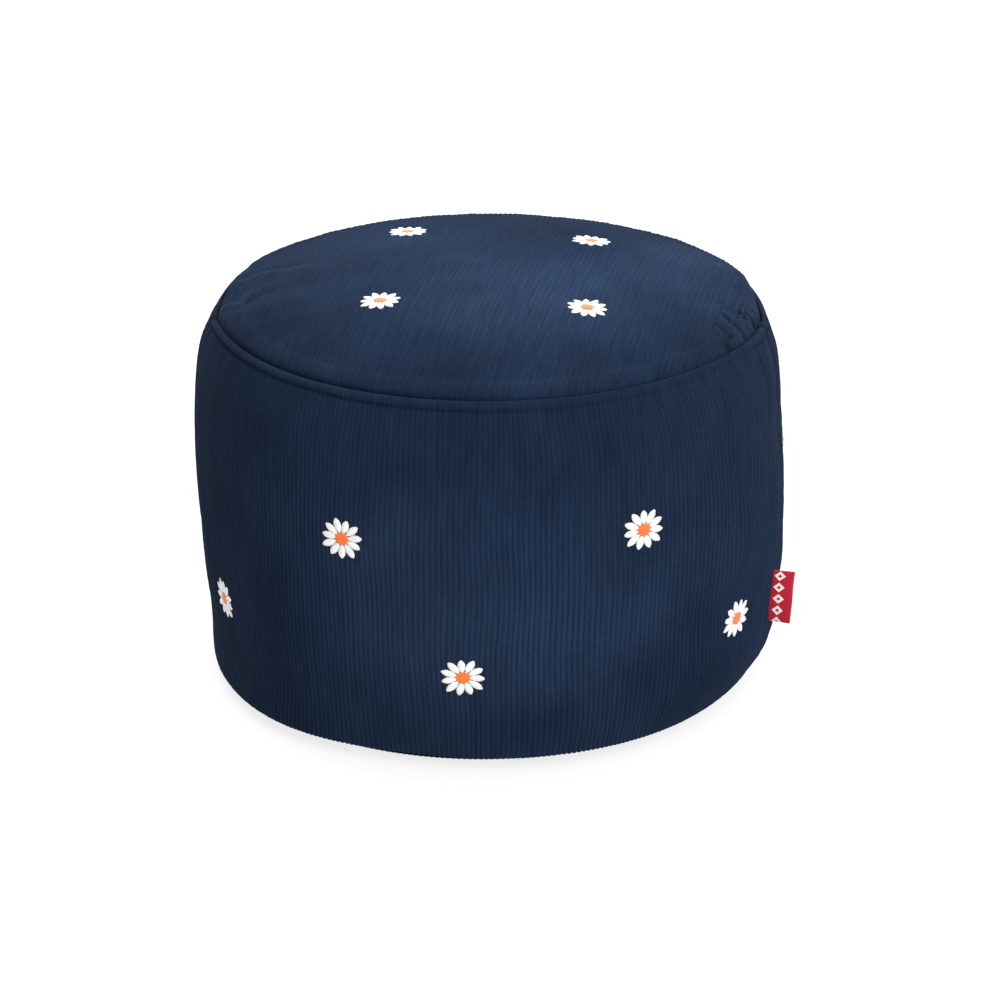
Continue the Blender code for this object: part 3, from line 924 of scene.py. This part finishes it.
def top_painted_light(x, y, u, v):
    """Painted light and shade on the top: painted shade in the gathered folds' hollows and painted light on
    their crests, painted light and shade along the creases, and broad painted patches.
    """
    # Painted shade where the gathered cloth dips and painted light where it stands up.
    shade = np.clip(1.0 + 240.0 * gathered(x, y, u, v), 0.55, 1.5)
    for crease in top_creases:
        shade = shade * (1.0 + crease[6] * beside_crease(x, y, crease))
    for middle_x, middle_y, spread, added in top_patches:
        shade = shade * (1.0 + added * bell(np.hypot(x - middle_x, y - middle_y) / spread))
    return shade


def top_face(x, y, u, v):
    """Height of the top panel's outer face, without its ribs."""
    azimuth = np.arctan2(y, x)
    rim_depth = 0.0032 + 0.0034 * ridge_strength(azimuth)
    height = top_height(x, y) - into_seam(x, y, rim_depth) + gathered(x, y, u, v)
    for crease in top_creases:
        height = height + crease[5] * beside_crease(x, y, crease)
    near_rim = np.exp(-(seam_radius - np.hypot(x, y)) / 0.012)
    height = height + 0.0005 * near_rim * round_noise(azimuth, 0.0, 0.017, 12)
    return height + 0.0006 * soft_noise(x, y, 0.07, 13) * (1.0 - near_rim)


def top_under(x, y):
    """Height of the top panel's underside."""
    depth = 0.0020 + 0.0024 * ridge_strength(np.arctan2(y, x))
    return top_height(x, y) - into_seam(x, y, depth) - top_thickness


top = ribbed_round(
    "top_cover",
    radius=seam_radius - 0.0001,
    shift=0.0,
    ribs=top_ribs,
    section=np.array([0.0, 0.62, 1.0, 0.95, 0.55]),
    rows=140,
    outer=top_face,
    inner=top_under,
    facing=1.0,
    rise=top_rib_rise,
    lean=rib_lean,
    brushing_and_painted_light=top_painted_light,
)
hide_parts("top_panel")
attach(top, "root")


# Base panel ===========================================================================================
# The round of corduroy that the footstool stands on. It is pressed flat by the weight, and its rim curls
# up to the bottom seam.

base_ribs = 102
contact_radius = 0.202
base_thickness = 0.0022
base_seam_height = base_high.z


def base_curl(x, y):
    """How far the base panel's rim stands off the floor."""
    past = np.clip((np.hypot(x, y) - contact_radius) / (base_seam_radius - contact_radius), 0.0, 1.0)
    return (base_seam_height - base_thickness) * past**2


def base_face(x, y, u, v):
    """Height of the base panel's lower face between its ribs."""
    return base_curl(x, y) + rib_rise


def base_upper(x, y):
    """Height of the base panel's upper face, inside the footstool."""
    return base_curl(x, y) + base_thickness


base = ribbed_round(
    "base_cover",
    radius=base_seam_radius,
    shift=base_shift,
    ribs=base_ribs,
    section=rib_section,
    rows=36,
    outer=base_face,
    inner=base_upper,
    facing=-1.0,
    rise=rib_rise,
    lean=0.0,
    brushing_and_painted_light=lambda x, y, u, v: np.ones(x.shape),
)
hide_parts("base_panel")
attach(base, "root")


# Ribbon tab ===========================================================================================
# A short length of red satin ribbon, folded in half, with both of its ends caught in the right-hand side
# seam. It stands straight out, and its weave carries a plain chain of pale lozenges.

tab_low, tab_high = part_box("side_tab")
tab_middle = (tab_low.z + tab_high.z) / 2.0
tab_height = 0.046
tab_length = 0.0215
tab_insertion = 0.0036
ribbon_thickness = 0.0008
fold_gap = 0.0005
lozenge_middle = 0.0118
lozenge_pitch = 0.0104
lozenge_reach = (0.0048, 0.0044)
hollow_share = 0.38


def ribbon_material():
    """Red satin ribbon: fine cross threads, and a woven chain of pale lozenges down its middle."""
    material, tree, shader = finish_material("red_ribbon")
    place = tree.nodes.new("ShaderNodeTexCoord").outputs["UV"]
    axes = add_node(tree, "ShaderNodeSeparateXYZ", {"Vector": place})
    from_fold = worked_out(tree, "SUBTRACT", axes.outputs["X"], tab_length)
    from_fold = worked_out(tree, "ABSOLUTE", from_fold)
    across = worked_out(tree, "SUBTRACT", from_fold, lozenge_middle)
    across = worked_out(tree, "ABSOLUTE", across)
    up = worked_out(tree, "ADD", axes.outputs["Y"], 0.5 * tab_height)
    up = worked_out(tree, "PINGPONG", up, 0.5 * lozenge_pitch)
    across_share = worked_out(tree, "DIVIDE", across, lozenge_reach[0])
    up_share = worked_out(tree, "DIVIDE", up, lozenge_reach[1])
    lozenge = worked_out(tree, "ADD", across_share, up_share)
    pale = worked_out(tree, "LESS_THAN", lozenge, 1.0)
    hollow = worked_out(tree, "LESS_THAN", lozenge, hollow_share)
    woven = worked_out(tree, "SUBTRACT", pale, hollow)
    weave = add_node(tree, "ShaderNodeTexWave", {"Vector": place, "Scale": 520.0})
    weave.bands_direction = "Y"
    threads = {"Height": weave.outputs["Fac"], "Strength": 0.35, "Distance": 0.0002}
    looks = {
        "Base Color": blended(tree, woven, (0.420, 0.0060, 0.0220, 1.0), (0.820, 0.740, 0.720, 1.0)),
        "Normal": add_node(tree, "ShaderNodeBump", threads).outputs["Normal"],
        "Roughness": 0.6,
        "Specular IOR Level": 0.25,
    }
    feed(tree, shader, looks)
    return material


# The strip seen from above: along its outer face from one end round the fold to the other, and back along
# its inner face. Rings of that outline are stacked up the tab, which sways a little away from its fold.
outer_turn, inner_turn = ribbon_thickness + fold_gap / 2.0, fold_gap / 2.0
fold_x = tab_length - outer_turn
fold_angles = np.linspace(-np.pi / 2.0, np.pi / 2.0, 9)
straight = np.linspace(0.0, fold_x, 8)[:-1]
path_x = np.concatenate([straight, np.full(len(fold_angles), fold_x), straight[::-1]])
path_side = np.sin(np.pad(fold_angles, len(straight), mode="edge"))
path_out = np.pad(np.cos(fold_angles), len(straight))
strip_x = np.concatenate([path_x + outer_turn * path_out, (path_x + inner_turn * path_out)[::-1]])
strip_side = np.concatenate([outer_turn * path_side, inner_turn * path_side[::-1]])

tab_share = np.linspace(-0.5, 0.5, 13)[:, None]
tab_z = tab_middle + tab_share * tab_height
tab_out = stuffed_side(side_seams[0] + 0.0 * tab_z, tab_z) - tab_insertion + strip_x
sway = 0.0014 * np.sin(3.0 * tab_share + 0.6) * (strip_x / tab_length) ** 2
tab_aside = strip_side + sway
seam_x, seam_y = np.cos(side_seams[0]), np.sin(side_seams[0])
tab_x = tab_out * seam_x - tab_aside * seam_y
tab_y = tab_out * seam_y + tab_aside * seam_x
along_ribbon = np.where(strip_side < 0.0, strip_x, 2.0 * tab_length - strip_x)
tab_flat = [along_ribbon + 0.0 * tab_z, tab_share * tab_height + 0.0 * strip_x]
tab_flat = np.stack(tab_flat, axis=2).reshape(-1, 2)
strip_size = len(strip_x)
outward = np.arange(len(path_x) - 1)
back = strip_size - 1 - outward
low_end = np.stack([outward + 1, outward, back, back - 1], axis=1)
high_end = (low_end + (len(tab_z) - 1) * strip_size)[:, ::-1]
tab_faces = np.vstack([grid_faces(len(tab_z), strip_size, wraps=True), low_end, high_end])
tab = mesh_piece(
    "ribbon_tab",
    np.stack([tab_x, tab_y, tab_z + 0.0 * sway], axis=2).reshape(-1, 3),
    tab_faces.tolist(),
    lambda corners: tab_flat[corners],
    {},
    ribbon_material(),
)
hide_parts("side_tab")
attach(tab, "root")


# Embroidery ===========================================================================================
# Daisies stitched on the finished cloth in thick thread: white satin-stitched petals round a raised orange
# middle. The stitches press the pile flat and stand a little above it.

thread_pitch = 0.00045
petal_count = 11
petal_start, petal_end = 0.0042, 0.0165
petal_half_width = 0.0029
stitch_rise, stitch_depth = 0.0007, 0.0005
middle_radius = 0.0056
middle_rise = 0.0011
wall_daisies = (
    # azimuth in degrees, height, turn in degrees
    (-118.0, 0.196, 10.0),
    (-61.0, 0.203, 24.0),
    (0.0, 0.192, 3.0),
    (59.0, 0.201, 17.0),
    (121.0, 0.195, 28.0),
    (179.0, 0.203, 8.0),
    (-95.0, 0.088, 30.0),
    (-36.0, 0.094, 6.0),
    (27.0, 0.087, 22.0),
    (86.0, 0.094, 0.0),
    (148.0, 0.088, 14.0),
    (-155.0, 0.093, 20.0),
)
top_daisies = (
    # x, y, turn in degrees
    (-0.088, -0.078, 12.0),
    (0.078, -0.096, 27.0),
    (0.086, 0.068, 5.0),
    (-0.070, 0.104, 19.0),
)


def thread_material(name, colour):
    """Smooth embroidery thread laid side by side, lit a little unevenly from strand to strand."""
    material, tree, shader = finish_material(name)
    place = tree.nodes.new("ShaderNodeTexCoord")
    laid = {"Vector": place.outputs["UV"], "Scale": 0.314 / thread_pitch, "Distortion": 1.5}
    strands = add_node(tree, "ShaderNodeTexWave", laid).outputs["Fac"]
    patches = {"Vector": place.outputs["Object"], "Scale": 1800.0}
    uneven = add_node(tree, "ShaderNodeTexNoise", patches).outputs["Fac"]
    light_share = worked_out(tree, "MULTIPLY_ADD", strands, 0.6, uneven)
    shaded = tuple(0.78 * part for part in colour)
    relief = {"Height": strands, "Strength": 0.6, "Distance": 0.00015}
    looks = {
        "Base Color": blended(tree, light_share, (*shaded, 1.0), (*colour, 1.0)),
        "Normal": add_node(tree, "ShaderNodeBump", relief).outputs["Normal"],
        "Roughness": 0.55,
        "Specular IOR Level": 0.35,
        "Sheen Weight": 0.15,
    }
    feed(tree, shader, looks)
    return material


white_thread = thread_material("white_thread", (0.800, 0.795, 0.780))
orange_thread = thread_material("orange_thread", (0.800, 0.155, 0.018))


def stitched_petal():
    """One petal along X: a rounded upper grid and a flat lower one, closed round its rim, and its faces."""
    rows, columns = 6, 5
    t, w = np.meshgrid(np.linspace(0.0, 1.0, rows), np.linspace(-1.0, 1.0, columns), indexing="ij")
    along = petal_start + (petal_end - petal_start) * t
    fullness = 0.10 + 0.90 * np.sin(np.pi * np.clip(t, 0.0, 0.985) ** 1.25) ** 0.6
    high = np.sqrt(np.clip(1.0 - w**2, 0.0, 1.0)) * np.sin(np.pi * np.clip(t, 0.02, 0.98)) ** 0.35
    upper = np.stack([along, petal_half_width * fullness * w, stitch_rise * high], axis=2).reshape(-1, 3)
    lower = np.append(upper[:, :2], np.full((len(upper), 1), -stitch_depth), axis=1)
    faces = grid_faces(rows, columns)[:, [0, 3, 2, 1]]
    rim_loop = grid_rim(rows, columns)
    skirt = band_faces(rim_loop, rim_loop + len(upper))
    return np.vstack([upper, lower]), np.vstack([faces, faces[:, ::-1] + len(upper), skirt])


def stitched_middle():
    """The raised round middle: rings round a point, down to a flat underside, and its faces."""
    turns = np.radians(np.arange(0.0, 360.0, 20.0))
    rings = [np.array([[0.0, 0.0, middle_rise]])]
    for share, high in ((0.35, 0.95), (0.65, 0.80), (0.88, 0.50), (1.0, 0.0), (1.0, -0.5)):
        ring = [np.cos(turns) * middle_radius * share, np.sin(turns) * middle_radius * share]
        rings.append(np.stack([*ring, np.full(len(turns), middle_rise * high)], axis=1))
    rings.append(np.array([[0.0, 0.0, -0.5 * middle_rise]]))
    loops = [1 + number * len(turns) + np.arange(len(turns)) for number in range(5)]
    bands = [band_faces(first, second)[:, [0, 3, 2, 1]] for first, second in zip(loops, loops[1:])]
    tips = [fan_faces(loops[0], 0), fan_faces(loops[-1], 1 + 5 * len(turns))[:, ::-1]]
    return np.vstack(rings), np.vstack(bands), np.vstack(tips)


def daisy_shape():
    """A flat daisy: its points and their places along the threads, its faces, and how many are petals'."""
    petal, petal_faces = stitched_petal()
    points, faces = [], []
    for number in range(petal_count):
        angle = 2.0 * np.pi * number / petal_count
        length = 1.0 + 0.05 * np.sin(2.3 * number)
        x = length * petal[:, 0] * np.cos(angle) - petal[:, 1] * np.sin(angle)
        y = length * petal[:, 0] * np.sin(angle) + petal[:, 1] * np.cos(angle)
        points.append(np.stack([x, y, petal[:, 2], petal[:, 0], petal[:, 1]], axis=1))
        faces += (petal_faces + number * len(petal)).tolist()
    middle, bands, tips = stitched_middle()
    points.append(np.append(middle, middle[:, :2], axis=1))
    start = petal_count * len(petal)
    return np.vstack(points), faces + (bands + start).tolist() + (tips + start).tolist(), len(faces)


daisy_points, daisy_faces, petals_end = daisy_shape()


def embroider(name, place, turn):
    """Stitch one daisy on the surface that place(along, across) gives, turned by an angle."""
    turned_x = daisy_points[:, 0] * np.cos(turn) - daisy_points[:, 1] * np.sin(turn)
    turned_y = daisy_points[:, 0] * np.sin(turn) + daisy_points[:, 1] * np.cos(turn)
    step = 0.0005
    along = place(turned_x + step, turned_y) - place(turned_x - step, turned_y)
    across = place(turned_x, turned_y + step) - place(turned_x, turned_y - step)
    outward = np.cross(along, across)
    outward /= np.linalg.norm(outward, axis=1, keepdims=True)
    daisy = mesh_piece(
        name,
        place(turned_x, turned_y) + outward * (rib_rise + daisy_points[:, 2])[:, None],
        daisy_faces,
        lambda corners: daisy_points[corners, 3:],
        {},
        white_thread,
        orange_thread,
    )
    for face in daisy.data.polygons[petals_end:]:
        face.material_index = 1
    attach(daisy, "root")


def on_wall(azimuth, height):
    """A function that lays flat places onto the wall round one spot."""

    def place(along, across):
        turn = azimuth + along / seam_radius
        z = height + across
        radius = stuffed_side(turn, z)
        return np.stack([radius * np.cos(turn), radius * np.sin(turn), z], axis=1)

    return place


def on_top(middle_x, middle_y):
    """A function that lays flat places onto the top panel round one spot."""

    def place(along, across):
        x, y = middle_x + along, middle_y + across
        u = x * np.cos(rib_lean) - y * np.sin(rib_lean)
        v = x * np.sin(rib_lean) + y * np.cos(rib_lean)
        return np.stack([x, y, top_face(x, y, u, v)], axis=1)

    return place


for number, (azimuth, height, turn) in enumerate(wall_daisies, start=1):
    embroider(f"wall_daisy_{number}", on_wall(np.radians(azimuth), height), np.radians(turn))
for number, (x, y, turn) in enumerate(top_daisies, start=1):
    embroider(f"top_daisy_{number}", on_top(x, y), np.radians(turn))


# Floor and light ======================================================================================
# A plain white table, partly lit from below so that it stays white beside the footstool. A broad soft light
# comes over the footstool from behind, and weaker ones from the front right and low from the front.

bpy.ops.mesh.primitive_plane_add(size=60.0, location=(0.0, 0.0, -0.0002))
floor = bpy.context.object
floor.name = "floor"
table_finish, table_tree, table_shader = finish_material("white_table")
table_looks = {
    "Base Color": (0.22, 0.22, 0.22, 1.0),
    "Roughness": 0.9,
    "Specular IOR Level": 0.0,
    "Emission Color": (1.0, 1.0, 1.0, 1.0),
    "Emission Strength": 0.78,
}
feed(table_tree, table_shader, table_looks)
floor.data.materials.append(table_finish)

soft_lights = (
    # azimuth and elevation in degrees, strength
    (90.0, 45.0, 5.7),
    (315.0, 45.0, 3.1),
    (270.0, 8.0, 1.5),
)
light_focus = 4.0
world = bpy.data.worlds.new("studio")
bpy.context.scene.world = world
world.use_nodes = True
sky = world.node_tree
sky_direction = sky.nodes.new("ShaderNodeTexCoord").outputs["Generated"]
light_sum = 0.0
for azimuth, elevation, strength in soft_lights:
    turn, lift = np.radians(azimuth), np.radians(elevation)
    towards = (np.cos(lift) * np.cos(turn), np.cos(lift) * np.sin(turn), np.sin(lift))
    facing = sky.nodes.new("ShaderNodeVectorMath")
    facing.operation = "DOT_PRODUCT"
    feed(sky, facing, {0: sky_direction, 1: towards})
    ahead = worked_out(sky, "MAXIMUM", facing.outputs["Value"], 0.0)
    soft_edge = worked_out(sky, "POWER", ahead, light_focus)
    light_sum = worked_out(sky, "MULTIPLY_ADD", soft_edge, strength, light_sum)
feed(sky, sky.nodes["Background"], {"Color": (1.0, 1.0, 1.0, 1.0), "Strength": light_sum})
